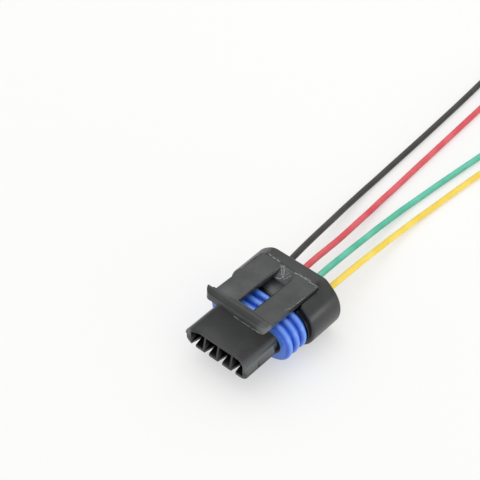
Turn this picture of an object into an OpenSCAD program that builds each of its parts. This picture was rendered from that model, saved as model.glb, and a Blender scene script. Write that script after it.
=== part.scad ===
// Sealed four-way automotive plug, socket half, on four loose leads.
// X runs across the plug, Y from the mating nose (-Y) back to the leads (+Y),
// Z up.  The plug lies on its flat back shell, as it would on a bench.

/* [Terminals] */
// Centre distance of neighbouring cavities
pitch = 4.5; // [4.3:0.1:4.7]
// Clear width of a cavity
cavity_w = 3.9; // [3.6:0.05:4.0]
// Clear height of a cavity
cavity_h = 3.7; // [3.5:0.05:3.9]
// Outer width and height of a terminal's box
term_box = 2.5; // [2.3:0.05:2.7]
// Sheet thickness of a terminal
term_t = 0.3; // [0.25:0.01:0.35]
// Length of a terminal's box
term_box_l = 8; // [7:0.1:8.5]
// How far the terminals' mouths lie behind the nose's tip
term_in = 5; // [4.6:0.1:5.5]
// Clearance round a terminal's box in its chamber
term_gap = 0.1; // [0.06:0.01:0.15]
// Width of a terminal's lock tang
tang_w = 1.0; // [0.8:0.1:1.3]
// Length of that tang
tang_l = 2.4; // [2:0.1:3]
// Height of that tang above its box
tang_h = 0.45; // [0.3:0.05:0.5]
// Distance from a terminal's mouth to its tang
tang_y = 3.6; // [3:0.1:4.5]
// Distance from a terminal's mouth to its contact spring
spring_y = 0.8; // [0.6:0.1:1.4]
// Length of the contact spring
spring_l = 3.6; // [3:0.1:4.4]
// Rise of the contact spring above the box's floor
spring_h = 0.4; // [0.35:0.05:0.6]
// Foot of the contact spring at each end
spring_foot = 0.4; // [0.3:0.05:0.6]
// Distance from a terminal's box to its core crimp
crimp_y = 1.4; // [1.2:0.1:1.5]
// Distance between a terminal's two crimps
crimp_gap = 0.8; // [0.7:0.1:1.0]
// Depth of the wide mouth in front of each terminal's chamber
mouth_l = 4.4; // [4:0.1:4.5]

/* [Nose] */
// Width of the nose over its rounded sides
nose_w = 21.1; // [20.9:0.1:21.3]
// Height of the nose
nose_h = 5.9; // [5.8:0.05:6.2]
// Free length of the nose in front of the ring seal
nose_l = 12; // [11.5:0.1:12.5]
// Corner radius of the nose's section
nose_r = 2.8; // [2.4:0.1:2.85]
// Thickness of the floor under the cavities
nose_floor = 0.9; // [0.8:0.05:1.0]
// How far the roof stands back behind the front of the floor
roof_back = 1.2; // [0.8:0.1:1.4]
// Distance over which the roof's edge sweeps forward to each outer wall
roof_sweep = 4.4; // [3:0.1:6]
// Width of the notch in each cavity's floor at the front
notch_w = 1.55; // [1.2:0.05:1.8]
// Depth of the notch
notch_l = 3.3; // [2.5:0.1:4]
// Length of the thumb-nail relief on each side of the nose, from the front
relief_l = 4.4; // [3.5:0.1:5]
// Depth of that relief
relief_d = 0.3; // [0.2:0.05:0.4]
// Length of the keyway on each side of the nose, in front of the ring seal
key_l = 2.0; // [1.6:0.1:2.4]
// Height of that keyway
key_h = 2.8; // [2.4:0.1:3]
// Depth of that keyway
key_d = 0.9; // [0.7:0.05:1.0]

/* [Ring seal] */
// Width over the ring seal's ribs
seal_w = 26.8; // [26.4:0.1:27]
// How much lower the ring seal is than the back shell, over its ribs
seal_less = 3.7; // [3.5:0.1:3.9]
// Length of the ring seal
seal_l = 8; // [7.6:0.1:8.2]
// Number of ribs
seal_ribs = 3; // [2:1:4]
// Depth of the valleys between the ribs
rib_d = 0.9; // [0.7:0.05:1.0]
// Share of each rib's pitch that its round crest fills
rib_fill = 0.88; // [0.8:0.02:0.92]
// Wall of the ring seal at its valleys
seal_wall = 1.8; // [1.7:0.05:1.9]
// How far the ring seal's centre line lies below the back shell's
seal_low = 0.35; // [0.25:0.05:0.45]
// Thickness of the collar between the ring seal and the back shell
collar_l = 0.8; // [0.6:0.1:1]
// How far the collar stays inside the ribs' outline
collar_in = 0.25; // [0.1:0.05:0.5]

/* [Back shell] */
// Width of the back shell
shell_w = 28.5; // [28:0.1:28.8]
// Height of the back shell
shell_h = 16.5; // [16.3:0.1:16.8]
// Length of the back shell
shell_l = 11.5; // [11.2:0.1:12]
// Depth of the pocket behind, for the wire seal and its cap
pocket_l = 7.2; // [6.8:0.1:7.6]
// Width of that pocket
pocket_w = 22.2; // [21.8:0.1:22.6]
// Height of that pocket
pocket_h = 9.2; // [8.8:0.1:9.4]
// Bevel round the shell's rear edge
rear_bevel = 0.6; // [0.3:0.1:1.0]
// Bevel round the shell's front edge
front_bevel = 0.4; // [0.2:0.1:0.6]

/* [Latch] */
// Width of the latch plate
latch_w = 18.6; // [18:0.1:19]
// Thickness of the latch plate
latch_t = 1.4; // [1.3:0.05:1.5]
// Length of the latch from its root to the front of its lip
latch_l = 20.4; // [19.8:0.1:20.8]
// Upward slope of the plate towards the front, in degrees
latch_rise = 2.9; // [2.5:0.1:4]
// How far the root lies behind the shell's front face
root_y = 6.3; // [6:0.1:6.6]
// Width of the window
window_w = 4.8; // [4.4:0.1:5.2]
// Length of the window along the plate's top
window_l = 17.2; // [16.8:0.1:17.6]
// How far the window's rear edge lies behind the flexing root
window_back = 0.9; // [0.6:0.1:1.1]
// Length of the slope at the window's rear, down to the plate's underside
window_ramp = 3.6; // [2.6:0.1:4]
// Width of the upstanding lip
lip_w = 20.4; // [19.6:0.1:20.6]
// Height of the lip above the plate
lip_h = 2.1; // [1.8:0.1:2.4]
// Length of the lip, from the flat plate to its front face
lip_l = 3.2; // [2.8:0.1:3.4]
// Length of the full-width foot behind the lip
lip_foot = 0.4; // [0.2:0.1:0.8]
// Radius of the lip's lower corners
lip_r = 2; // [1.4:0.1:2.2]
// Radius of the lip's front corners, seen from above
lip_corner = 1.8; // [1:0.1:2.2]
// Gap round the moving part of the latch
latch_gap = 0.3; // [0.25:0.05:0.4]
// Gap behind the latch's round root
root_gap = 0.08; // [0.06:0.01:0.12]
// Drop of the step under the latch
step_drop = 1.0; // [0.6:0.1:1.2]
// Distance from the shell's front face to that step
step_y = 3.9; // [3:0.1:4.4]

/* [Leads] */
// Outside diameter of a lead's insulation
wire_d = 1.8; // [1.7:0.05:1.9]
// Diameter of the stranded copper core
core_d = 1.1; // [1.0:0.05:1.2]
// Open seam along the bottom of a closed crimp
crimp_slit = 0.25; // [0.15:0.05:0.35]
// Length of the crimp on the bare core
crimp_l = 3.2; // [2.8:0.1:3.4]
// Length of the crimp on the insulation
grip_l = 2.8; // [2.4:0.1:3]
// Length of the leads behind the back shell
lead_l = 120; // [100:5:150]
// Length of bare core at each free end
strip_l = 7; // [5:0.5:9]
// Length of the wire seal
grommet_l = 5; // [4.4:0.1:5.2]
// Depth of the grooves round the wire seal
grommet_d = 0.4; // [0.2:0.05:0.6]
// Width of each of its three sealing ribs
grommet_rib = 1; // [0.8:0.1:1.3]
// Thickness of the cap that keeps the wire seal in
cap_t = 1.6; // [1.4:0.1:1.7]
// How far the cap lies inside the shell's rear face
cap_in = 0.4; // [0.2:0.1:0.5]
// Width of the catches above and below the cap
catch_w = 5; // [4:0.5:7]
// Height of those catches
catch_d = 0.35; // [0.25:0.05:0.5]
// Radial clearance of the cap's holes round the leads
cap_clear = 0.2; // [0.1:0.05:0.3]

/* [Hidden] */
$fn = 64;
eps = 0.01;           // overlap of solids that are joined
over = 1;             // how far a cut runs past the surface that it opens
slip = 0.04;          // radial clearance of parts pushed into each other
ways = 4;             // cavities, terminals and leads

seat_l = seal_l + collar_l;
total_l = nose_l + seat_l + shell_l;
y_tip = -total_l / 2;
y_seal = y_tip + nose_l;
y_shell = y_seal + seat_l;
y_rear = y_shell + shell_l;
y_pocket = y_rear - pocket_l;
y_root = y_shell + root_y;
y_term = y_tip + term_in;
y_neck = y_term + term_box_l + crimp_y / 2; // end of the chambers, start of the round passages
nose_z = shell_h / 2;                     // centre line of the nose and of the back shell
floor_z = nose_z - nose_h / 2;            // underside of the nose
cavity_z = floor_z + nose_floor + cavity_h / 2;
roof_z = nose_z + nose_h / 2;
seal_h = shell_h - seal_less;
core_z = shell_h / 2 - seal_low;          // centre line of the ring seal
neck_w = seal_w - 2 * (rib_d + seal_wall);
neck_h = seal_h - 2 * (rib_d + seal_wall);
half_w = nose_w / 2;

crimp_d = core_d + 2 * slip + 2 * term_t;
grip_d = wire_d + 2 * slip + 2 * term_t;
y_crimp = y_term + term_box_l + crimp_y;
y_grip = y_crimp + crimp_l + crimp_gap;
y_cut = y_grip - crimp_gap / 3;           // where a lead's insulation begins

function way_x(i) = (i - (ways - 1) / 2) * pitch;

// Outlines are drawn in X and Z and pushed back along Y.
module run_back(y0, y1) {
    translate([0, y1, 0]) rotate([90, 0, 0]) linear_extrude(y1 - y0) children();
}

// Sections are drawn in Y and Z and pushed across, centred on X.
module run_across(w) {
    rotate([90, 0, 90]) translate([0, 0, -w / 2]) linear_extrude(w) children();
}

// Long oval: two half circles joined by straight sides.
module oval(w, h, z) {
    translate([0, z]) {
        square([w - h, h], center = true);
        for (s = [-1, 1]) translate([s * (w - h) / 2, 0]) circle(d = h);
    }
}

module rounded_box(w, h, r, z) {
    translate([0, z]) {
        square([w - 2 * r, h], center = true);
        square([w, h - 2 * r], center = true);
        for (sx = [-1, 1], sz = [-1, 1])
            translate([sx * (w / 2 - r), sz * (h / 2 - r)]) circle(r = r);
    }
}

// ---- housing: nose, seal seat and back shell, moulded in one ---------------

module nose_block() {
    difference() {
        run_back(y_tip, y_seal + eps) rounded_box(nose_w, nose_h, nose_r, nose_z);
        roof_front();
        for (s = [-1, 1]) {
            side_relief(s);
            translate([s * half_w, y_seal - key_l / 2, nose_z + key_h / 6])
                cube([2 * key_d, key_l, key_h], center = true);
        }
    }
}

// The roof and the walls between the cavities lean back from the floor's edge,
// and the roof's edge curves forward again to the outer walls.
module roof_front() {
    out = way_x(ways - 1) + cavity_w / 2;
    edge = [for (t = [0 : 0.2 : 1]) [out - t * roof_sweep, y_tip + roof_back * t * (2 - t)]];
    intersection() {
        run_across(2 * out)
            polygon([[y_tip - over, floor_z + nose_floor], [y_tip - eps, floor_z + nose_floor],
                     [y_tip + roof_back, roof_z + eps], [y_tip - over, roof_z + eps]]);
        linear_extrude(roof_z + over)
            polygon(concat([[out, y_tip - over]], edge,
                           [for (k = [len(edge) - 1 : -1 : 0]) [-edge[k][0], edge[k][1]]],
                           [[-out, y_tip - over]]));
    }
}

module side_relief(side) {
    translate([side * half_w, 0, 0]) run_across(2 * relief_d)
        polygon([[y_tip - eps, nose_z - nose_h / 4], [y_tip + relief_l, nose_z - nose_h / 4],
                 [y_tip + relief_l, nose_z + nose_h / 4], [y_tip - eps, nose_z]]);
}

// Slice of the back shell at y, drawn in by a bevel; with the land, the slice
// has a flat top as wide as the latch.
module shell_slice(y0, y1, inset, land = false) {
    run_back(y0, y1) {
        oval(shell_w - 2 * inset, shell_h - 2 * inset, shell_h / 2, $fn = 48);
        if (land) translate([rear_bevel - latch_w / 2, shell_h / 2])
            square([latch_w - 2 * rear_bevel, shell_h / 2 - inset]);
    }
}

module shell_block() {
    hull() {
        shell_slice(y_shell, y_shell + eps, front_bevel);
        shell_slice(y_shell + front_bevel, y_rear - rear_bevel, 0);
        shell_slice(y_rear - eps, y_rear, rear_bevel);
    }
    // flat land that carries the latch's root
    hull() {
        shell_slice(y_root, y_rear - rear_bevel, 0, land = true);
        shell_slice(y_rear - eps, y_rear, rear_bevel, land = true);
    }
}

// Wide mouth, close chamber for the terminal's box, round passage for its crimps.
module cavity(i) {
    chamber = term_box + 2 * term_gap;
    translate([way_x(i) - cavity_w / 2, y_tip - over, cavity_z - cavity_h / 2])
        cube([cavity_w, mouth_l + over, cavity_h]);
    translate([way_x(i) - chamber / 2, y_tip, cavity_z - chamber / 2])
        cube([chamber, y_neck - y_tip, chamber]);
    translate([way_x(i) - tang_w / 2 - term_gap, y_term + tang_y, cavity_z])
        cube([tang_w + 2 * term_gap, tang_l + 4 * term_gap, term_box / 2 + tang_h + term_gap]);
    translate([way_x(i), y_pocket + eps, cavity_z]) rotate([90, 0, 0])
        cylinder(d = grip_d + 4 * term_gap, h = y_pocket - y_neck + 2 * eps);
}

// Notch in the cavity's floor, beside the wall on its -X side.
module floor_notch(i) {
    x0 = way_x(i) - cavity_w / 2;
    translate([0, 0, floor_z - eps]) linear_extrude(nose_floor + 2 * eps)
        polygon([[x0, y_tip - eps], [x0 + notch_w, y_tip - eps],
                 [x0 + notch_w / 2 + term_gap, y_tip + notch_l],
                 [x0 + notch_w / 2 - term_gap, y_tip + notch_l]]);
}

// Room under and beside the latch, stepped down towards the ring seal.
module latch_bay() {
    bay_z = shell_h - latch_t - latch_gap;
    w = latch_w + 2 * latch_gap;
    translate([-w / 2, y_shell - over, bay_z]) cube([w, root_y + over, shell_h]);
    translate([-w / 2, y_shell - over, bay_z - step_drop]) cube([w, step_y + over, shell_h]);
    translate([-w / 2, y_root, shell_h]) rotate([0, 90, 0]) cylinder(r = latch_t + root_gap, h = w);
}

module cap_catches(grow) {
    for (s = [-1, 1])
        translate([0, y_rear - cap_in - cap_t / 2, cavity_z + s * (pocket_h / 2 - eps)])
            cube([catch_w + 2 * grow, cap_t / 2 + 2 * grow, 2 * catch_d + 2 * grow], center = true);
}

module housing() color("#3a3c3c") difference() {
    union() {
        nose_block();
        run_back(y_seal, y_shell + eps) oval(neck_w - 2 * slip, neck_h - 2 * slip, core_z);
        run_back(y_seal + seal_l + slip, y_shell + eps)
            oval(seal_w - 2 * collar_in, seal_h - 2 * collar_in, core_z);
        shell_block();
    }
    for (i = [0 : ways - 1]) {
        cavity(i);
        floor_notch(i);
    }
    run_back(y_pocket, y_rear + over) oval(pocket_w, pocket_h, cavity_z);
    cap_catches(slip);
    latch_bay();
}

// ---- latch lever -----------------------------------------------------------

// Side view of the lip: upright front face, ridge behind it, curve down to the
// plate.  Heights are from the plate's flat top.
module lip_profile() {
    front = -latch_l;
    back = front + lip_l;
    polygon([[back + lip_foot, -latch_t], [back + lip_foot, 0], [back, 0],
             [front + 0.88 * lip_l, 0.08 * lip_h], [front + 0.75 * lip_l, 0.34 * lip_h],
             [front + 0.62 * lip_l, 0.78 * lip_h], [front + 0.54 * lip_l, 0.96 * lip_h],
             [front + 0.46 * lip_l, lip_h], [front + 0.37 * lip_l, 0.97 * lip_h],
             [front + 0.09 * lip_l, 0.64 * lip_h], [front, 0.48 * lip_h],
             [front, -0.75 * latch_t], [front + 0.1 * lip_l, -0.95 * latch_t],
             [front + 0.2 * lip_l, -latch_t]]);
}

module latch_plate() {
    translate([-latch_w / 2, -latch_l + lip_l - eps, -latch_t])
        cube([latch_w, latch_l - lip_l + eps, latch_t]);
    intersection() {
        run_across(lip_w) lip_profile();
        lip_outline();
        lip_plan();
    }
    // round root, which rolls in the land's hollow
    intersection() {
        translate([-latch_w / 2, 0, 0]) rotate([0, 90, 0]) cylinder(r = latch_t, h = latch_w);
        translate([-latch_w / 2, -eps, -latch_t]) cube([latch_w, 2 * latch_t, latch_t]);
    }
}

// Front view of the lip, with its lower corners rounded off.
module lip_outline() {
    run_back(-latch_l - over, -latch_l + lip_l + over) {
        translate([-lip_w / 2 + lip_r, -latch_t]) square([lip_w - 2 * lip_r, lip_r]);
        translate([-lip_w / 2, lip_r - latch_t]) square([lip_w, lip_h]);
        for (s = [-1, 1]) translate([s * (lip_w / 2 - lip_r), lip_r - latch_t]) circle(r = lip_r);
    }
}

// Window right through the plate; its rear wall is a long slope that runs down
// and forward from the root.
module latch_window() {
    front = window_back - window_l;
    foot = window_back - window_ramp;
    run_across(window_w)
        polygon([[front, -latch_t - over], [front, over], [window_back, over], [window_back, 0],
                 [foot, -latch_t], [foot, -latch_t - over]]);
}

// Plan of the lip, with its front corners rounded off.
module lip_plan() {
    translate([0, 0, -latch_t - over]) linear_extrude(latch_t + lip_h + 2 * over) {
        translate([lip_corner - lip_w / 2, -latch_l]) square([lip_w - 2 * lip_corner, lip_corner]);
        translate([-lip_w / 2, lip_corner - latch_l]) square([lip_w, lip_l]);
        for (s = [-1, 1]) translate([s * (lip_w / 2 - lip_corner), lip_corner - latch_l])
            circle(r = lip_corner);
    }
}

module latch_lever() color("#434545")
    translate([0, y_root, shell_h]) rotate([-latch_rise, 0, 0]) difference() {
        latch_plate();
        latch_window();
    }

// ---- seals and cap ---------------------------------------------------------

// Section of the ring seal: distance from the core line, then Y.
module seal_section() {
    inner = neck_h / 2;
    valley = inner + seal_wall;
    step = seal_l / seal_ribs;
    crest = rib_fill * step / 2;
    translate([inner, 0]) square([seal_wall, seal_l]);
    intersection() {
        translate([valley - eps, 0]) square([rib_d + eps, seal_l]);
        for (k = [0 : seal_ribs - 1])
            translate([valley + rib_d - crest, (k + 0.5) * step]) circle(r = crest, $fn = 32);
    }
}

module interface_seal() color("#3a6be0") translate([0, y_seal, core_z]) {
    half = (neck_w - neck_h) / 2;
    for (s = [-1, 1]) {
        translate([s * half, 0, 0]) rotate([-90, 0, 0]) rotate([0, 0, -s * 90])
            rotate_extrude(angle = 180) seal_section();
        rotate([0, 90 - 90 * s, 0]) translate([half, 0, 0]) rotate([0, -90, 0])
            linear_extrude(2 * half) seal_section();
    }
}

module wire_seal() color("#2f4fb0") difference() {
    union() {
        run_back(y_pocket, y_pocket + grommet_l)
            oval(pocket_w - 2 * grommet_d, pocket_h - 2 * grommet_d, cavity_z);
        for (k = [0 : 2]) {
            y = y_pocket + k * (grommet_l - grommet_rib) / 2;
            run_back(y, y + grommet_rib) oval(pocket_w - 2 * slip, pocket_h - 2 * slip, cavity_z);
        }
    }
    for (i = [0 : ways - 1]) translate([way_x(i), y_pocket - over, cavity_z]) rotate([-90, 0, 0])
        cylinder(d = wire_d + 2 * slip, h = grommet_l + 2 * over);
}

module rear_cap() color("#343636") difference() {
    union() {
        run_back(y_rear - cap_in - cap_t, y_rear - cap_in)
            oval(pocket_w - 4 * slip, pocket_h - 4 * slip, cavity_z);
        cap_catches(0);
    }
    for (i = [0 : ways - 1])
        translate([way_x(i), y_rear - cap_in - cap_t - over, cavity_z]) rotate([-90, 0, 0])
            cylinder(d = wire_d + 2 * cap_clear, h = cap_t + 2 * over);
}

// ---- terminals -------------------------------------------------------------

module crimp_barrel(y, l, inner_d) {
    outer_d = inner_d + 2 * term_t;
    translate([0, y, 0]) rotate([-90, 0, 0]) difference() {
        cylinder(d = outer_d, h = l);
        translate([0, 0, -over]) cylinder(d = inner_d, h = l + 2 * over);
        translate([-crimp_slit / 2, -outer_d, -over]) cube([crimp_slit, outer_d, l + 2 * over]);
    }
}

// Contact spring inside the box, bowed up from its floor.
module contact_spring() {
    floor = -term_box / 2 + term_t - eps;
    front = y_term + spring_y;
    back = front + spring_l;
    middle = (front + back) / 2;
    run_across(term_box - 2 * (term_t + term_gap))
        polygon([[front, floor], [middle, floor + spring_h], [back, floor], [back - spring_foot, floor],
                 [middle, floor + spring_h - term_t], [front + spring_foot, floor]]);
}

// Lock tang, raised from the box's roof and highest in front.
module lock_tang() {
    low = term_box / 2 - eps;
    front = y_term + tang_y + tang_h / 2;
    back = y_term + tang_y + tang_l;
    run_across(tang_w)
        polygon([[back, low], [back, low + term_gap], [front, low + tang_h], [front, low]]);
}

// Strip that carries the crimps, stepped from the box's floor to each of them.
module crimp_strip() {
    line = [[y_term + term_box_l - crimp_gap / 2, -term_box / 2], [y_crimp - term_gap, -crimp_d / 2],
            [y_crimp + crimp_l, -crimp_d / 2], [y_grip - term_gap, -grip_d / 2],
            [y_grip + crimp_gap / 2, -grip_d / 2]];
    run_across(crimp_d)
        polygon(concat(line, [for (k = [len(line) - 1 : -1 : 0]) line[k] + [0, term_t]]));
}

module terminal(i) color("#c9c7bf") translate([way_x(i), 0, cavity_z]) {
    half = term_box / 2;
    difference() {
        translate([-half, y_term, -half]) cube([term_box, term_box_l, term_box]);
        translate([-half + term_t, y_term - over, -half + term_t])
            cube([term_box - 2 * term_t, term_box_l + 2 * over, term_box - 2 * term_t]);
    }
    contact_spring();
    lock_tang();
    crimp_strip();
    crimp_barrel(y_crimp, crimp_l, core_d + 2 * slip);
    crimp_barrel(y_grip, grip_l, wire_d + 2 * slip);
}

// ---- leads -----------------------------------------------------------------

lie_z = wire_d / 2;                       // height of a lead that lies on the bench

// The leads sink to the bench side by side and run on, fanning out a little.
// Way points behind the shell: distance back as a share of the leads' length,
// height as a share of the way up from the bench to the cavities, and each
// lead's place across in cavity pitches, from the black lead to the yellow one.
routes = [
    [0.0321, 0.98, [-1.644, -0.6, 0.444, 1.5]],
    [0.0821, 0.923, [-1.844, -0.711, 0.356, 1.467]],
    [0.1321, 0.797, [-2.067, -0.822, 0.256, 1.378]],
    [0.1821, 0.629, [-2.311, -0.978, 0.122, 1.267]],
    [0.2321, 0.448, [-2.556, -1.189, -0.011, 1.144]],
    [0.2821, 0.28, [-2.8, -1.4, -0.133, 1.044]],
    [0.3321, 0.14, [-3, -1.578, -0.2, 0.989]],
    [0.3821, 0.056, [-3.144, -1.733, -0.211, 0.989]],
    [0.4404, 0, [-3.256, -1.844, -0.133, 1.067]],
    [0.5071, 0, [-3.344, -1.944, 0.022, 1.2]],
    [0.5821, 0, [-3.433, -2.044, 0.222, 1.378]],
    [0.6571, 0, [-3.533, -2.144, 0.433, 1.578]],
    [0.7321, 0, [-3.644, -2.244, 0.622, 1.767]],
    [0.7987, 0, [-3.744, -2.333, 0.778, 1.911]],
    [0.8654, 0, [-3.867, -2.422, 0.911, 2.044]],
    [0.9321, 0, [-4, -2.511, 1.022, 2.167]],
    [1, 0, [-4.133, -2.6, 1.111, 2.267]]];

function lead_path(i) = concat(
    [[way_x(i), y_cut, cavity_z], [way_x(i), y_rear + cap_in, cavity_z]],
    [for (p = routes) [pitch * p[2][i], y_rear + lead_l * p[0], lie_z + p[1] * (cavity_z - lie_z)]]);
function last(list) = list[len(list) - 1];
function unit(v) = v / norm(v);
function tangent(p, k) = unit(p[min(k + 1, len(p) - 1)] - p[max(k - 1, 0)]);
function ring(c, t, r, sides) = let (u = unit(cross(t, [0, 0, 1])), v = cross(u, t))
    [for (a = [0 : sides - 1]) c + r * (cos(360 * a / sides) * u + sin(360 * a / sides) * v)];

module tube(path, d, sides = 8) {
    n = len(path);
    points = [for (k = [0 : n - 1]) each ring(path[k], tangent(path, k), d / 2, sides)];
    walls = [for (k = [0 : n - 2], a = [0 : sides - 1]) let (b = (a + 1) % sides)
        [k * sides + a, k * sides + b, (k + 1) * sides + b, (k + 1) * sides + a]];
    caps = [[for (a = [sides - 1 : -1 : 0]) a], [for (a = [0 : sides - 1]) (n - 1) * sides + a]];
    polyhedron(points, concat(walls, caps), convexity = 10);
}

wire_colours = ["#2f302f", "#e0464e", "#34ad8c", "#f5d93c"];

module wire(i) color(wire_colours[i]) tube(lead_path(i), wire_d);

module core(i) color("#b87a52") translate([way_x(i), y_crimp - crimp_gap / 3, cavity_z])
    rotate([-90, 0, 0]) cylinder(d = core_d, h = y_cut - y_crimp + crimp_gap / 3);

// Stripped and tinned end of a lead, in line with the lead's last stretch.
module wire_end(i) color("#b9bab8") {
    path = lead_path(i);
    end = last(path);
    tube([end, end + strip_l * tangent(path, len(path) - 1)], core_d);
}

housing();
latch_lever();
interface_seal();
wire_seal();
rear_cap();
terminal(0);  // terminal_1
terminal(1);  // terminal_2
terminal(2);  // terminal_3
terminal(3);  // terminal_4
core(0);  // core_1
core(1);  // core_2
core(2);  // core_3
core(3);  // core_4
wire(0);  // wire_black
wire(1);  // wire_red
wire(2);  // wire_green
wire(3);  // wire_yellow
wire_end(0);  // stripped_end_black
wire_end(1);  // stripped_end_red
wire_end(2);  // stripped_end_green
wire_end(3);  // stripped_end_yellow
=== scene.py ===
"""Dresses the sealed four-way plug: rounded mouldings, silicone seals, tinned
terminals and four round leads, on a pale bench under soft light."""
import math
import random

import bmesh
import bpy
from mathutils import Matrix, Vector


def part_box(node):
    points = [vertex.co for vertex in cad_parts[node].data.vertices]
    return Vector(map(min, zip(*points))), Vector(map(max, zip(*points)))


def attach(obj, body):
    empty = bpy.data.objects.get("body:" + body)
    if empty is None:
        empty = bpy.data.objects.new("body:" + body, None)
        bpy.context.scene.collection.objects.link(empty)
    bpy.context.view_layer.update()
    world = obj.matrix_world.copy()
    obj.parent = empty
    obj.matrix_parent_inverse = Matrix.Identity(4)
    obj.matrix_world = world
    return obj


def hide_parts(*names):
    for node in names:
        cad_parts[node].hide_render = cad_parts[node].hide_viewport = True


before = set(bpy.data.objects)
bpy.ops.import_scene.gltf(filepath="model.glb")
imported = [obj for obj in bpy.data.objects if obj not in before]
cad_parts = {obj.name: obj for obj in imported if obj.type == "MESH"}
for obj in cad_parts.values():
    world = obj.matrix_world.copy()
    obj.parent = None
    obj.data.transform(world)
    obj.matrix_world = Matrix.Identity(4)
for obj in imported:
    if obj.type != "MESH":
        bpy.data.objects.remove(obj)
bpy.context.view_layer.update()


# ---- camera ------------------------------------------------------------------
# A long lens that looks down on the plug from in front of its nose and off its
# yellow lead's side.
bpy.ops.object.camera_add(location=(0.15646, -0.17867, 0.26940),
                          rotation=[math.radians(a) for a in (45.510, 0.465, 41.877)])
camera = bpy.context.object
camera.name = "camera"
camera.data.lens = 103.25
camera.data.clip_start = 0.01
bpy.context.scene.camera = camera


# ---- leads -------------------------------------------------------------------
# Four stranded copper leads in coloured vinyl, 1.8 mm across, extruded and then
# crimped in the terminals.  They leave through the cap side by side, sink to
# the bench and run on to bare tinned ends; each is one smooth curve.
def paint(code):
    """Linear RGBA of an sRGB hex colour."""
    parts = [int(code[i:i + 2], 16) / 255 for i in (1, 3, 5)]
    return [p / 12.92 if p < 0.04045 else ((p + 0.055) / 1.055) ** 2.4 for p in parts] + [1]


def put(tree, kind, **values):
    """Adds a shader node, or takes the one given, and sets or links what is named."""
    made = tree.nodes.new("ShaderNode" + kind) if isinstance(kind, str) else kind
    sockets = {socket.identifier: socket for socket in made.inputs}
    for name, value in values.items():
        socket = sockets.get(name) or sockets.get(name.replace("_", " "))
        if socket is None:
            setattr(made, name, value)
        elif isinstance(value, bpy.types.NodeSocket):
            tree.links.new(value, socket)
        else:
            socket.default_value = value
    return made


lead_d = 0.0018
lead_length = 0.120
pitch = 0.0045
shell_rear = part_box("housing")[1][1]
way_z = (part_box("core_1")[0][2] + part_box("core_1")[1][2]) / 2
# Distance back as a share of the length, height as a share of the way up from
# the bench to the cavities, place across in cavity pitches.
lead_route = (
    (0.0321, 0.98, (-1.644, -0.6, 0.444, 1.5)),
    (0.0821, 0.923, (-1.844, -0.711, 0.356, 1.467)),
    (0.1321, 0.797, (-2.067, -0.822, 0.256, 1.378)),
    (0.1821, 0.629, (-2.311, -0.978, 0.122, 1.267)),
    (0.2321, 0.448, (-2.556, -1.189, -0.011, 1.144)),
    (0.2821, 0.28, (-2.8, -1.4, -0.133, 1.044)),
    (0.3321, 0.14, (-3, -1.578, -0.2, 0.989)),
    (0.3821, 0.056, (-3.144, -1.733, -0.211, 0.989)),
    (0.4404, 0, (-3.256, -1.844, -0.133, 1.067)),
    (0.5071, 0, (-3.344, -1.944, 0.022, 1.2)),
    (0.5821, 0, (-3.433, -2.044, 0.222, 1.378)),
    (0.6571, 0, (-3.533, -2.144, 0.433, 1.578)),
    (0.7321, 0, (-3.644, -2.244, 0.622, 1.767)),
    (0.7987, 0, (-3.744, -2.333, 0.778, 1.911)),
    (0.8654, 0, (-3.867, -2.422, 0.911, 2.044)),
    (0.9321, 0, (-4, -2.511, 1.022, 2.167)),
    (1, 0, (-4.133, -2.6, 1.111, 2.267)))
lead_colours = {"black": ("#30302e", "#3f3f3c"), "red": ("#d5474f", "#e2626a"),
                "green": ("#4cb59a", "#68c9b0"), "yellow": ("#eecb42", "#f8df68")}
tinned = bpy.data.materials.new("tinned_metal")

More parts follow.
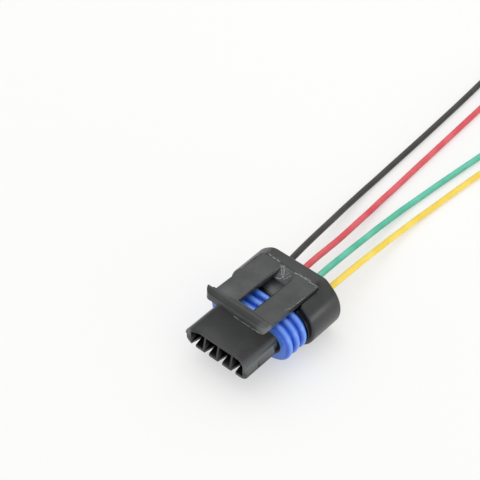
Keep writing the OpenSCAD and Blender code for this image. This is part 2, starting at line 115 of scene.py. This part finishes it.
for way, (colour, shades) in enumerate(lead_colours.items()):
    way_x = (way - 1.5) * pitch
    points = [Vector((way_x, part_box("wire_" + colour)[0][1] + 0.0001, way_z)),
              Vector((way_x, shell_rear + 0.0004, way_z))]
    points += [Vector((pitch * across[way], shell_rear + lead_length * back,
                       lead_d / 2 + up * (way_z - lead_d / 2))) for back, up, across in lead_route]
    line = bpy.data.curves.new("lead_" + colour, "CURVE")
    line.dimensions = "3D"
    line.bevel_depth = lead_d / 2
    line.bevel_resolution = 5
    line.resolution_u = 8
    line.use_fill_caps = True
    spline = line.splines.new("BEZIER")
    spline.bezier_points.add(len(points) - 1)
    for knot, point in zip(spline.bezier_points, points):
        knot.co = point
        knot.handle_left_type = knot.handle_right_type = "AUTO"
    lead = bpy.data.objects.new("lead_" + colour, line)
    bpy.context.collection.objects.link(lead)

    # Extruded soft vinyl: a satin skin, clouded over about 7 mm, with faint
    # draw marks 0.3 mm apart.
    vinyl = bpy.data.materials.new("extruded_vinyl_" + colour)
    vinyl.use_nodes = True
    tree = vinyl.node_tree
    shader = tree.nodes["Principled BSDF"]
    where = put(tree, "TexCoord").outputs["Object"]
    cloud = put(tree, "TexNoise", Vector=where, Scale=140, Detail=3)
    clouded = put(tree, "MapRange", Value=cloud.outputs[0], From_Min=0.35, From_Max=0.68)
    tint = put(tree, "Mix", data_type="RGBA", Factor_Float=clouded.outputs[0],
               A_Color=paint(shades[0]), B_Color=paint(shades[1]))
    skin = put(tree, "TexNoise", Vector=where, Scale=3500, Detail=2)
    relief = put(tree, "Bump", Height=skin.outputs[0], Strength=0.12, Distance=0.0001)
    put(tree, shader, Base_Color=tint.outputs["Result"], Roughness=0.42, Specular_IOR_Level=0.45,
        Normal=relief.outputs[0])
    line.materials.append(vinyl)

    # Bare end: six tinned strands laid round a seventh, 7 mm long.
    strand_r, bare_length, rings_each, sides, twist = 0.00018, 0.007, 15, 8, 0.55
    ahead = (points[-1] - points[-2]).normalized()
    side = Vector((0, 0, 1)).cross(ahead).normalized()
    above = ahead.cross(side)
    strands = bmesh.new()
    for strand in range(7):
        rings = []
        for step in range(rings_each):
            turn = math.tau * strand / 6 + twist * step
            out = 0 if strand == 6 else 2 * strand_r
            middle = points[-1] + ahead * bare_length * step / (rings_each - 1)
            middle += out * (math.cos(turn) * side + math.sin(turn) * above)
            rings.append([strands.verts.new(middle + strand_r * (math.cos(a) * side + math.sin(a) * above))
                          for a in [math.tau * k / sides for k in range(sides)]])
        for low, high in zip(rings, rings[1:]):
            for k in range(sides):
                strands.faces.new((low[k], low[(k + 1) % sides], high[(k + 1) % sides], high[k]))
        strands.faces.new(list(reversed(rings[0])))
        strands.faces.new(rings[-1])
    mesh = bpy.data.meshes.new("bare_end_" + colour)
    strands.to_mesh(mesh)
    strands.free()
    mesh.materials.append(tinned)
    mesh.shade_smooth()
    bare = bpy.data.objects.new("bare_end_" + colour, mesh)
    bpy.context.collection.objects.link(bare)
    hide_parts("stripped_end_" + colour)
    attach(bare, "plug")

    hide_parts("wire_" + colour)
    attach(lead, "plug")


# ---- terminals -----------------------------------------------------------------
# Box terminals folded from bronze strip and tin plated: bright and a little
# cloudy, in patches of about 1 mm, as plating is after it has been crimped.
tinned.use_nodes = True
tree = tinned.node_tree
where = put(tree, "TexCoord").outputs["Object"]
cloud = put(tree, "TexNoise", Vector=where, Scale=900, Detail=4)
tint = put(tree, "Mix", data_type="RGBA", Factor_Float=cloud.outputs[0],
           A_Color=paint("#9d9a92"), B_Color=paint("#d8d5cc"))
rough = put(tree, "MapRange", Value=cloud.outputs[0], To_Min=0.25, To_Max=0.5)
put(tree, tree.nodes["Principled BSDF"], Base_Color=tint.outputs["Result"], Metallic=1,
    Roughness=rough.outputs[0])
for number in range(1, 5):
    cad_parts["terminal_%d" % number].material_slots[0].material = tinned


# ---- crimped cores ---------------------------------------------------------------
# The strands inside the crimps: drawn copper wires 0.35 mm across that run along
# the lead, bright on their crowns and brown between.
copper = bpy.data.materials.new("drawn_copper")
copper.use_nodes = True
tree = copper.node_tree
where = put(tree, "TexCoord").outputs["Object"]
lay = put(tree, "TexWave", Vector=where, Scale=900, Distortion=1.5, bands_direction="X")
tint = put(tree, "Mix", data_type="RGBA", Factor_Float=lay.outputs["Fac"],
           A_Color=paint("#8d5433"), B_Color=paint("#cf8a5c"))
put(tree, tree.nodes["Principled BSDF"], Base_Color=tint.outputs["Result"], Metallic=1, Roughness=0.35)
for number in range(1, 5):
    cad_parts["core_%d" % number].material_slots[0].material = copper


# ---- nose and back shell ---------------------------------------------------------
# One injection moulding in black glass-filled PBT, with edges a little rounded by
# the tool.  The nose is painted darker as painted shade and clouded with smears
# from handling, with a painted highlight along the upper edges of its sides; the
# bay under the window is painted paler as painted light that lifts its shade; and
# the cavities and the collar next to the ring seal are painted nearly black as
# painted shade.
def merged_copy(name, node, body):
    """Copy of a moulding's CAD node with its triangles merged, standing for that node."""
    piece = bpy.data.objects.new(name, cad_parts[node].data.copy())
    bpy.context.collection.objects.link(piece)
    piece.data.materials.clear()
    for other in bpy.context.selected_objects:
        other.select_set(False)
    piece.select_set(True)
    bpy.context.view_layer.objects.active = piece
    bpy.ops.object.mode_set(mode="EDIT")
    bpy.ops.mesh.select_all(action="SELECT")
    bpy.ops.mesh.remove_doubles(threshold=2e-6)
    bpy.ops.mesh.dissolve_limited(angle_limit=math.radians(0.5))
    bpy.ops.object.mode_set(mode="OBJECT")
    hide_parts(node)
    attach(piece, body)
    return piece


def round_edges(piece, radius, segments, wanted, least=35):
    """Bevels the edges of at least so many degrees that wanted(middle, direction) picks,
    with both given in millimetres."""
    for other in bpy.context.selected_objects:
        other.select_set(False)
    piece.select_set(True)
    bpy.context.view_layer.objects.active = piece
    bpy.ops.object.mode_set(mode="EDIT")
    bpy.ops.mesh.select_mode(type="EDGE")
    bpy.ops.mesh.select_all(action="DESELECT")
    shape = bmesh.from_edit_mesh(piece.data)
    for edge in shape.edges:
        start, end = [1000 * vert.co for vert in edge.verts]
        if len(edge.link_faces) == 2 and edge.calc_face_angle() > math.radians(least):
            edge.select_set(wanted((start + end) / 2, (end - start).normalized()))
    bmesh.update_edit_mesh(piece.data)
    bpy.ops.mesh.bevel(offset=radius, segments=segments, affect="EDGES", clamp_overlap=True)
    bpy.ops.object.mode_set(mode="OBJECT")
    bpy.ops.object.shade_smooth_by_angle(angle=math.radians(40))


def moulded_pbt(name, dark, pale):
    """Glass-filled PBT as it leaves the tool: near black with clouds of about 4 mm, a
    satin skin with a grain of 0.2 mm, glossier rubbed patches and a few hair scratches."""
    plastic = bpy.data.materials.new(name)
    plastic.use_nodes = True
    tree = plastic.node_tree
    where = put(tree, "TexCoord").outputs["Object"]
    mottle = put(tree, "TexNoise", Vector=where, Scale=260, Detail=5, Roughness=0.6)
    clouded = put(tree, "MapRange", Value=mottle.outputs[0], From_Min=0.3, From_Max=0.72)
    tint = put(tree, "Mix", data_type="RGBA", Factor_Float=clouded.outputs[0],
               A_Color=paint(dark), B_Color=paint(pale))
    drawn = put(tree, "Mapping", Vector=where, Rotation=(0.2, 0.1, 0.6), Scale=(170, 3100, 700))
    hairs = put(tree, "TexNoise", Vector=drawn.outputs[0], Scale=1, Detail=1, Distortion=0.6)
    scratched = put(tree, "MapRange", Value=hairs.outputs[0], From_Min=0.74, From_Max=0.8, To_Max=0.3)
    worn = put(tree, "Mix", data_type="RGBA", Factor_Float=scratched.outputs[0],
               A_Color=tint.outputs["Result"], B_Color=paint("#6a6c6b"))
    wear_and_highlight = put(tree, "TexNoise", Vector=where, Scale=85, Detail=2)
    rough = put(tree, "MapRange", Value=wear_and_highlight.outputs[0], From_Min=0.35, From_Max=0.65,
                To_Min=0.27, To_Max=0.42)
    grain = put(tree, "TexNoise", Vector=where, Scale=5200, Detail=3)
    relief = put(tree, "Bump", Height=grain.outputs[0], Strength=0.22, Distance=0.00004)
    put(tree, tree.nodes["Principled BSDF"], Base_Color=worn.outputs["Result"],
        Roughness=rough.outputs[0], Specular_IOR_Level=0.58, Normal=relief.outputs[0])
    return plastic


body = merged_copy("plug_body", "housing", "plug")
# Places on the moulding in millimetres: the nose's tip, the ring seal's front, the
# collar and the shell behind it, the seam of the latch's root with the land behind
# it, and the block of cavities.  Then how far the rounded bands at the nose's tip
# and the shell's back reach, and the oval that the shell's front edge lies outside.
nose_tip = 1000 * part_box("housing")[0][1]
seal_front = 1000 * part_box("interface_seal")[0][1]
collar_front = 3.85
shell_front = 4.65
shell_back = 1000 * shell_rear
shell_top = 16.5
root_seam = 12.43
land_front = root_seam + 0.15
land_half = 8.7
cavity_half = 8.8
cavity_low, cavity_high = 1000 * way_z - 2.5, 1000 * way_z + 1.9
tip_band, back_band = 3.4, 0.7
oval_centre, oval_r = 6, 7.5
bpy.ops.object.mode_set(mode="EDIT")
bpy.ops.mesh.select_all(action="SELECT")
bpy.ops.mesh.bisect(plane_co=(0, land_front / 1000, 0), plane_no=(0, 1, 0))
bpy.ops.object.mode_set(mode="OBJECT")
round_edges(body, 0.0012, 5, lambda at, along: at.y > land_front and at.z > shell_top - 1 and
            abs(abs(at.x) - land_half) < 0.05 and abs(along.x) < 0.1, least=20)
round_edges(body, 0.00014, 2, lambda at, along: at.y < nose_tip + tip_band)
round_edges(body, 0.00035, 3, lambda at, along: at.y > shell_back - back_band)
round_edges(body, 0.00025, 3, lambda at, along: shell_front - 0.1 < at.y < shell_front + 0.5 and
            math.hypot(max(abs(at.x) - oval_centre, 0), at.z - shell_top / 2) > oval_r)

body_pbt = moulded_pbt("moulded_pbt", "#1a1b1c", "#2b2c2d")
tree = body_pbt.node_tree
shader = tree.nodes["Principled BSDF"]
where = put(tree, "TexCoord").outputs["Object"]
place = put(tree, "SeparateXYZ", Vector=where)
# Painted shade: the collar between the ring seal and the shell is painted nearly black.
collar_on = put(tree, "MapRange", Value=place.outputs["Y"], From_Min=(collar_front - 0.05) / 1000,
                From_Max=(collar_front + 0.05) / 1000)
collar_off = put(tree, "MapRange", Value=place.outputs["Y"], From_Min=(shell_front - 0.05) / 1000,
                 From_Max=(shell_front + 0.05) / 1000, To_Min=1, To_Max=0)
painted_shade = put(tree, "Math", operation="MULTIPLY", Value=collar_on.outputs[0],
             Value_001=collar_off.outputs[0])
across = put(tree, "Math", operation="ABSOLUTE", Value=place.outputs["X"])
# Painted shade: the cavities' walls, from just behind the nose's tip, are painted nearly black too.
within = put(tree, "MapRange", Value=across.outputs[0], From_Min=cavity_half / 1000,
             From_Max=(cavity_half + 0.1) / 1000, To_Min=1, To_Max=0)
above_floor = put(tree, "MapRange", Value=place.outputs["Z"], From_Min=(cavity_low - 0.05) / 1000,
                  From_Max=cavity_low / 1000)
below_roof = put(tree, "MapRange", Value=place.outputs["Z"], From_Min=cavity_high / 1000,
                 From_Max=(cavity_high + 0.05) / 1000, To_Min=1, To_Max=0)
deep = put(tree, "MapRange", Value=place.outputs["Y"], From_Min=(nose_tip - 0.7) / 1000,
           From_Max=(nose_tip + 0.5) / 1000)
cavity_shade = put(tree, "Math", operation="MULTIPLY", Value=within.outputs[0], Value_001=above_floor.outputs[0])
cavity_shade = put(tree, "Math", operation="MULTIPLY", Value=cavity_shade.outputs[0], Value_001=below_roof.outputs[0])
cavity_shade = put(tree, "Math", operation="MULTIPLY", Value=cavity_shade.outputs[0], Value_001=deep.outputs[0])
painted_shade = put(tree, "Math", operation="MAXIMUM", Value=painted_shade.outputs[0], Value_001=cavity_shade.outputs[0])
# Painted shade: the nose ahead of the ring seal is painted darker, clouded with smears from handling.
on_nose = put(tree, "MapRange", Value=place.outputs["Y"], From_Min=(seal_front - 0.2) / 1000,
              From_Max=seal_front / 1000, To_Min=1, To_Max=0)
smear = put(tree, "TexNoise", Vector=where, Scale=125, Detail=3, Distortion=1.4)
smeared = put(tree, "MapRange", Value=smear.outputs[0], From_Min=0.4, From_Max=0.62)
nose_painted_light = put(tree, "Mix", data_type="RGBA", Factor_Float=smeared.outputs[0],
               A_Color=paint("#07080a"), B_Color=paint("#191b1d"))
# Painted highlight: pale along the upper edges of the nose's sides.
shoulder_in, shoulder_out = 0.0082, 0.0096
outward = put(tree, "MapRange", Value=across.outputs[0], From_Min=shoulder_in, From_Max=shoulder_out)
upward = put(tree, "MapRange", Value=place.outputs["Z"], From_Min=way_z - 0.0006, From_Max=way_z + 0.0008,
             To_Max=0.9)
shoulder_highlight = put(tree, "Math", operation="MULTIPLY", Value=outward.outputs[0], Value_001=upward.outputs[0])
nose_painted_light = put(tree, "Mix", data_type="RGBA", Factor_Float=shoulder_highlight.outputs[0],
               A_Color=nose_painted_light.outputs["Result"], B_Color=paint("#565a5b"))
toned = put(tree, "Mix", data_type="RGBA", Factor_Float=on_nose.outputs[0],
            A_Color=shader.inputs["Base Color"].links[0].from_socket, B_Color=nose_painted_light.outputs["Result"])
# Painted light: the bay under the window is painted paler to lift its shade.
bay, bay_light_full, bay_light_end = (0, 0.0073, 0.0145), 0.0026, 0.004
from_bay = put(tree, "VectorMath", operation="DISTANCE", Vector=where, Vector_001=bay)
bay_light = put(tree, "MapRange", Value=from_bay.outputs["Value"], From_Min=bay_light_full, From_Max=bay_light_end,
            To_Min=0.8, To_Max=0)
toned = put(tree, "Mix", data_type="RGBA", Factor_Float=bay_light.outputs[0],
            A_Color=toned.outputs["Result"], B_Color=paint("#4b4d50"))
# The nearly black colour of the painted shade on the collar and in the cavities.
shaded = put(tree, "Mix", data_type="RGBA", Factor_Float=painted_shade.outputs[0],
             A_Color=toned.outputs["Result"], B_Color=paint("#08080a"))
put(tree, shader, Base_Color=shaded.outputs["Result"])
body.data.materials.append(body_pbt)


# ---- cap -------------------------------------------------------------------------
# Flat moulded cap, pushed in behind the mat seal and held by two catches; the
# leads come out of its four holes.
cap = merged_copy("wire_cap", "rear_cap", "plug")
round_edges(cap, 0.00015, 2, lambda at, along: at.y > 1000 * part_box("rear_cap")[1][1] - 0.05)
cap.data.materials.append(moulded_pbt("moulded_pbt_cap", "#191a1c", "#28292a"))


# ---- latch lever -----------------------------------------------------------------
# Windowed lever with an upstanding lip, moulded with the shell and bent at its
# root.  The window's long edges are generously rounded, the others a little, the
# root's seam is left tight.  The lip's corner carries a painted highlight, the plate
# by its foot a softer painted highlight, and the slope by the root has gone chalky
# where it bends.
latch = merged_copy("latch", "latch_lever", "latch")
# Places on the lever in millimetres: half the window's width, the foot of its rear
# slope, the height above which its edges are rounded off generously, and the y
# from which and up to which the other edges are left as they are.
window_half = 2.4
ramp_foot = 8.1
window_rim = 16.4
window_near = -6.5
root_near = 10.9
bpy.ops.object.mode_set(mode="EDIT")
bpy.ops.mesh.select_all(action="SELECT")
bpy.ops.mesh.bisect(plane_co=(0, ramp_foot / 1000, 0), plane_no=(0, 1, 0))
bpy.ops.object.mode_set(mode="OBJECT")


def window_edge(at, along):
    return (abs(abs(at.x) - window_half) < 0.05 and abs(along.y) > 0.9 and at.y < ramp_foot
            and at.z > window_rim)


round_edges(latch, 0.0007, 5, window_edge)
round_edges(latch, 0.0002, 3, lambda at, along: at.y < root_near and not (
    abs(at.x) < window_half + 0.6 and at.y > window_near))
latch_pbt = moulded_pbt("moulded_pbt_latch", "#212323", "#383a39")
tree = latch_pbt.node_tree
shader = tree.nodes["Principled BSDF"]
where = put(tree, "TexCoord").outputs["Object"]
# Painted highlight: pale on the lip's right corner; the chalky patch by the bend is real whitening.
lip_corner, lip_foot, bend = (0.0094, -0.0086, 0.0172), (-0.0068, -0.0052, 0.0172), (-0.0009, 0.0106, 0)
from_corner = put(tree, "VectorMath", operation="DISTANCE", Vector=where, Vector_001=lip_corner)
painted_highlight = put(tree, "MapRange", Value=from_corner.outputs["Value"], From_Min=0.0011, From_Max=0.0027,
              To_Min=0.75, To_Max=0)
# A softer painted highlight on the plate by the lip's foot.
from_foot = put(tree, "VectorMath", operation="DISTANCE", Vector=where, Vector_001=lip_foot)
wear_and_highlight = put(tree, "MapRange", Value=from_foot.outputs["Value"], From_Min=0.0006, From_Max=0.004,
             To_Min=0.34, To_Max=0)
painted_highlight = put(tree, "Math", operation="MAXIMUM", Value=painted_highlight.outputs[0], Value_001=wear_and_highlight.outputs[0])
highlighted = put(tree, "Mix", data_type="RGBA", Factor_Float=painted_highlight.outputs[0],
            A_Color=shader.inputs["Base Color"].links[0].from_socket, B_Color=paint("#6f7173"))
seen_from_above = put(tree, "VectorMath", operation="MULTIPLY", Vector=where, Vector_001=(1, 1, 0))
from_bend = put(tree, "VectorMath", operation="DISTANCE", Vector=seen_from_above.outputs[0],
                Vector_001=bend)
bent = put(tree, "MapRange", Value=from_bend.outputs["Value"], From_Min=0.0006, From_Max=0.0025,
           To_Min=0.5, To_Max=0)
streaks = put(tree, "TexNoise", Vector=where, Scale=1300, Detail=3, Distortion=0.8)
streaked = put(tree, "MapRange", Value=streaks.outputs[0], From_Min=0.42, From_Max=0.62, To_Min=0.1)
chalk = put(tree, "Math", operation="MULTIPLY", Value=bent.outputs[0], Value_001=streaked.outputs[0])
chalked = put(tree, "Mix", data_type="RGBA", Factor_Float=chalk.outputs[0],
              A_Color=highlighted.outputs["Result"], B_Color=paint("#7c7f80"))
put(tree, shader, Base_Color=chalked.outputs["Result"])
latch.data.materials.append(latch_pbt)


# ---- whitened marks --------------------------------------------------------------
# Where the latch has been bent the PBT has crazed and gone pale: a ragged line
# along the root's seam, and wrinkles that run down the window's rear slope.  A
# thin bead stands proud along the lip's lower front edge, its pale colour a painted
# highlight, and thin pale beads along the plate's right edge are painted highlights.
rng = random.Random(4)
# In metres: the way between two rings of a bead, the distance it is laid on from,
# and how deep its edges and its keel sink in.  The ends taper over taper_rings.
bead_step = 0.00018
standoff = 0.01
bead_foot, bead_keel = 0.000006, 0.00003
taper_rings = 2.5


def wrinkle(shape, piece, line, toward, width, rise):
    """Adds a thin closed bead on the piece, along a line of points in millimetres."""
    along = [Vector(point) / 1000 for point in line]
    toward = Vector(toward)
    rings = []
    for start, end in zip(along, along[1:]):
        steps = max(2, round((end - start).length / bead_step))
        for step in range(steps):
            share = (step + 0.5) / steps
            aim = start.lerp(end, share) - standoff * toward
            hit, place = piece.ray_cast(aim, toward)[:2]
            if not hit:
                continue
            side = (end - start).cross(toward).normalized()
            half = width * rng.uniform(0.25, 0.75) * 0.001
            place = place + side * rng.uniform(-0.03, 0.03) * 0.001 * (width / 0.2)
            rings.append((place, side * half, -toward))
    beads = []
    for number, (place, half, out) in enumerate(rings):
        taper = min(1, (number + 0.3) / taper_rings, (len(rings) - number - 0.7) / taper_rings)
        beads.append([shape.verts.new(place - taper * half - bead_foot * out),
                      shape.verts.new(place + rise * 0.001 * taper * out),
                      shape.verts.new(place + taper * half - bead_foot * out),
                      shape.verts.new(place - bead_keel * out)])
    for low, high in zip(beads, beads[1:]):
        for k in range(4):
            shape.faces.new((low[k], low[(k + 1) % 4], high[(k + 1) % 4], high[k]))
    if beads:
        shape.faces.new(list(reversed(beads[0])))
        shape.faces.new(beads[-1])


# Each line: width, rise, the way it is laid on, then its points.
down, back = (0, 0, -1), (0, 1, 0)
plate_height = 16.5
marks = {
    "root_crazing": (latch, "latch", (
        (0.62, 0.09, down, ((-2.75, 12.25), (-2.13, 11.91), (-1.31, 11.23), (-0.59, 10.28), (0.15, 9.12))),
        (0.24, 0.05, down, ((-2.09, 12.3), (-1.39, 11.65), (-0.97, 10.97))),
        (0.36, 0.07, down, ((-3.3, 11.89), (-2.19, 11.15), (-1.15, 10.17), (-0.13, 9.17))),
        (0.42, 0.08, down, ((0.21, 8.92), (0.63, 9.52), (0.98, 10.2), (1.35, 11.01))),
        (0.3, 0.06, down, ((-0.03, 10.16), (0.25, 10.79), (0.58, 11.23))),
        (0.5, 0.07, down, ((-1.9, 8.3), (-1.3, 8.5), (-0.7, 8.75), (0.1, 9.0))),
        (0.38, 0.07, down, ((1.48, 11.55), (1.78, 12.02), (2.28, 12.3), (3.28, 12.3), (4.12, 12.25),
                            (5.27, 12.2), (6.66, 12.05), (7.73, 12.05), (8.8, 12.15))))),
    "shell_crazing": (body, "plug", (
        (0.4, 0.07, down, ((-8.11, 13.02), (-7.4, 12.68), (-6.35, 12.58), (-5.24, 12.55),
                            (-4.42, 12.52), (-3.6, 12.5))),
        (0.3, 0.06, down, ((2.5, 12.52), (3.1, 12.62), (3.5, 12.55))),
        (0.24, 0.05, down, ((4.2, 12.5), (5.5, 12.52), (7.0, 12.5))))),
    # Painted highlight: a thin pale bead along the lip's lower front edge.
    "lip_flash_highlight": (latch, "latch", (
        (0.22, 0.09, back, ((-0.4, 0, 16.49), (2.6, 0, 16.47), (4.9, 0, 16.47), (8.0, 0, 16.48),
                            (8.9, 0, 16.5), (9.3, 0, 16.7))),
        (0.2, 0.07, back, ((-9.75, 0, 17.25), (-9.45, 0, 16.85), (-9.0, 0, 16.56), (-7.6, 0, 16.49))))),
    # Painted highlight: thin pale beads along the plate's right edge.
    "plate_edge_highlight": (latch, "latch", (
        (0.22, 0.05, down, ((8.35, -0.4), (8.6, 0.7), (9.1, 1.4), (9.12, 3.2))),
        (0.2, 0.04, down, ((9.14, 3.6), (9.14, 5.2), (9.14, 7.4))),
        (0.26, 0.05, down, ((8.6, 11.2), (8.95, 12.2)))))}

for name, (piece, rider, lines) in marks.items():
    shape = bmesh.new()
    for width, rise, toward, line in lines:
        line = [point if len(point) == 3 else (*point, plate_height) for point in line]
        wrinkle(shape, piece, line, toward, width, rise)
    bmesh.ops.recalc_face_normals(shape, faces=shape.faces)
    mesh = bpy.data.meshes.new(name)
    shape.to_mesh(mesh)
    shape.free()
    mark = bpy.data.objects.new(name, mesh)
    bpy.context.collection.objects.link(mark)
    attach(mark, rider)

    # Crazed PBT: the same plastic gone chalky, in flecks of about 0.4 mm.  On the
    # lip's and the plate edge's beads this pale colour is a painted highlight.
    crazed = bpy.data.materials.new("crazed_pbt_" + name)
    crazed.use_nodes = True
    tree = crazed.node_tree
    where = put(tree, "TexCoord").outputs["Object"]
    flecks = put(tree, "TexNoise", Vector=where, Scale=2400, Detail=3)
    fleck = put(tree, "MapRange", Value=flecks.outputs[0], From_Min=0.4, From_Max=0.65)
    tint = put(tree, "Mix", data_type="RGBA", Factor_Float=fleck.outputs[0],
               A_Color=paint("#565858"), B_Color=paint("#9c9f9f"))
    put(tree, tree.nodes["Principled BSDF"], Base_Color=tint.outputs["Result"], Roughness=0.6)
    mesh.materials.append(crazed)


# ---- silicone seals ----------------------------------------------------------------
# Blue silicone, pressed in a polished tool and a little translucent: the ribbed
# ring seal round the neck and the mat seal in the back shell.  Each rib's crest and
# the front face's edge are painted paler as painted highlights.
ribs = 3
for node, name in (("interface_seal", "pressed_silicone_ring"), ("wire_seal", "pressed_silicone_mat")):
    silicone = bpy.data.materials.new(name)
    silicone.use_nodes = True
    tree = silicone.node_tree
    where = put(tree, "TexCoord").outputs["Object"]
    cloud = put(tree, "TexNoise", Vector=where, Scale=170, Detail=3)
    clouded = put(tree, "MapRange", Value=cloud.outputs[0], From_Min=0.3, From_Max=0.7)
    tint = put(tree, "Mix", data_type="RGBA", Factor_Float=clouded.outputs[0],
               A_Color=paint("#2250c4"), B_Color=paint("#2f68dc"))
    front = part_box(node)[0][1]
    rib_pitch = (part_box(node)[1][1] - front) / ribs
    # Painted highlights: paler along each rib's crest and at the front face's edge, darker in the valleys
    # between.
    along = put(tree, "SeparateXYZ", Vector=where).outputs["Y"]
    turn = put(tree, "Math", operation="MULTIPLY_ADD", Value=along, Value_001=math.tau / rib_pitch,
               Value_002=math.pi - math.tau * front / rib_pitch)
    wave = put(tree, "Math", operation="COSINE", Value=turn.outputs[0])
    crest_highlight = put(tree, "MapRange", Value=wave.outputs[0], From_Min=-0.4, From_Max=1, To_Max=0.9)
    end_face_highlight = put(tree, "MapRange", Value=along, From_Min=front, From_Max=front + 0.0002,
                   To_Min=0.5, To_Max=0)
    seal_highlight = put(tree, "Math", operation="MAXIMUM", Value=crest_highlight.outputs[0], Value_001=end_face_highlight.outputs[0])
    seal_highlighted = put(tree, "Mix", data_type="RGBA", Factor_Float=seal_highlight.outputs[0],
                A_Color=tint.outputs["Result"], B_Color=paint("#6b9ef2"))
    skin = put(tree, "TexNoise", Vector=where, Scale=1800, Detail=2)
    relief = put(tree, "Bump", Height=skin.outputs[0], Strength=0.15, Distance=0.00008)
    put(tree, tree.nodes["Principled BSDF"], Base_Color=seal_highlighted.outputs["Result"], Roughness=0.3,
        Specular_IOR_Level=0.7, Subsurface_Weight=0.1, Subsurface_Radius=(0.0004, 0.0006, 0.0012),
        Subsurface_Scale=1, Normal=relief.outputs[0])
    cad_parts[node].material_slots[0].material = silicone


# ---- bench and light ---------------------------------------------------------------
# A plain pale bench that keeps only the part's soft shadow, a pale tent that is
# dimmer low down, a weak softbox above and behind, and a low strip off the yellow
# lead's side.  Seen directly, the bench glows a little, as in a light tent.
bench_size, bench_drop, glow_share = 40, 0.00002, 0.48
bpy.ops.mesh.primitive_plane_add(size=bench_size, location=(0, 0, -bench_drop))
bench = bpy.context.object
bench.name = "bench"
pale = bpy.data.materials.new("bench")
pale.use_nodes = True
tree = pale.node_tree
shader = tree.nodes["Principled BSDF"]
put(tree, shader, Base_Color=paint("#f7f7f5"), Roughness=0.9, Specular_IOR_Level=0.2)
ray = put(tree, "LightPath")
seen = put(tree, "Math", operation="MAXIMUM", Value=ray.outputs["Is Camera Ray"],
           Value_001=ray.outputs["Is Glossy Ray"])
seen = put(tree, "Math", operation="MAXIMUM", Value=seen.outputs[0],
           Value_001=ray.outputs["Is Transmission Ray"])
share = put(tree, "Math", operation="MULTIPLY", Value=seen.outputs[0], Value_001=glow_share)
glow = put(tree, "Emission", Color=paint("#ffffff"), Strength=1)
both = put(tree, "MixShader", Fac=share.outputs[0], Shader=shader.outputs[0], Shader_001=glow.outputs[0])
put(tree, tree.nodes["Material Output"], Surface=both.outputs[0])
bench.data.materials.append(pale)

world = bpy.data.worlds.new("studio")
world.use_nodes = True
bpy.context.scene.world = world
tree = world.node_tree
height = put(tree, "SeparateXYZ", Vector=put(tree, "TexCoord").outputs["Generated"])
level = put(tree, "MapRange", Value=height.outputs["Z"], From_Min=0, From_Max=0.8, To_Min=0.4, To_Max=1.01)
put(tree, tree.nodes["Background"], Color=paint("#ffffff"), Strength=level.outputs[0])

for name, place, aim, size, power in (
        ("softbox_top", (-0.15, 0.25, 0.6), (0, 0.02, 0), (0.6, 0.6), 0.8),
        ("softbox_side", (0.55, 0.02, 0.07), (0, 0, 0.01), (0.9, 0.12), 0.9)):
    light = bpy.data.lights.new(name, "AREA")
    light.shape = "RECTANGLE"
    light.size, light.size_y = size
    light.energy = power
    lamp = bpy.data.objects.new(name, light)
    bpy.context.collection.objects.link(lamp)
    lamp.location = place
    lamp.rotation_euler = (Vector(aim) - Vector(place)).to_track_quat("-Z", "Y").to_euler()

bpy.context.scene.view_settings.view_transform = "Standard"
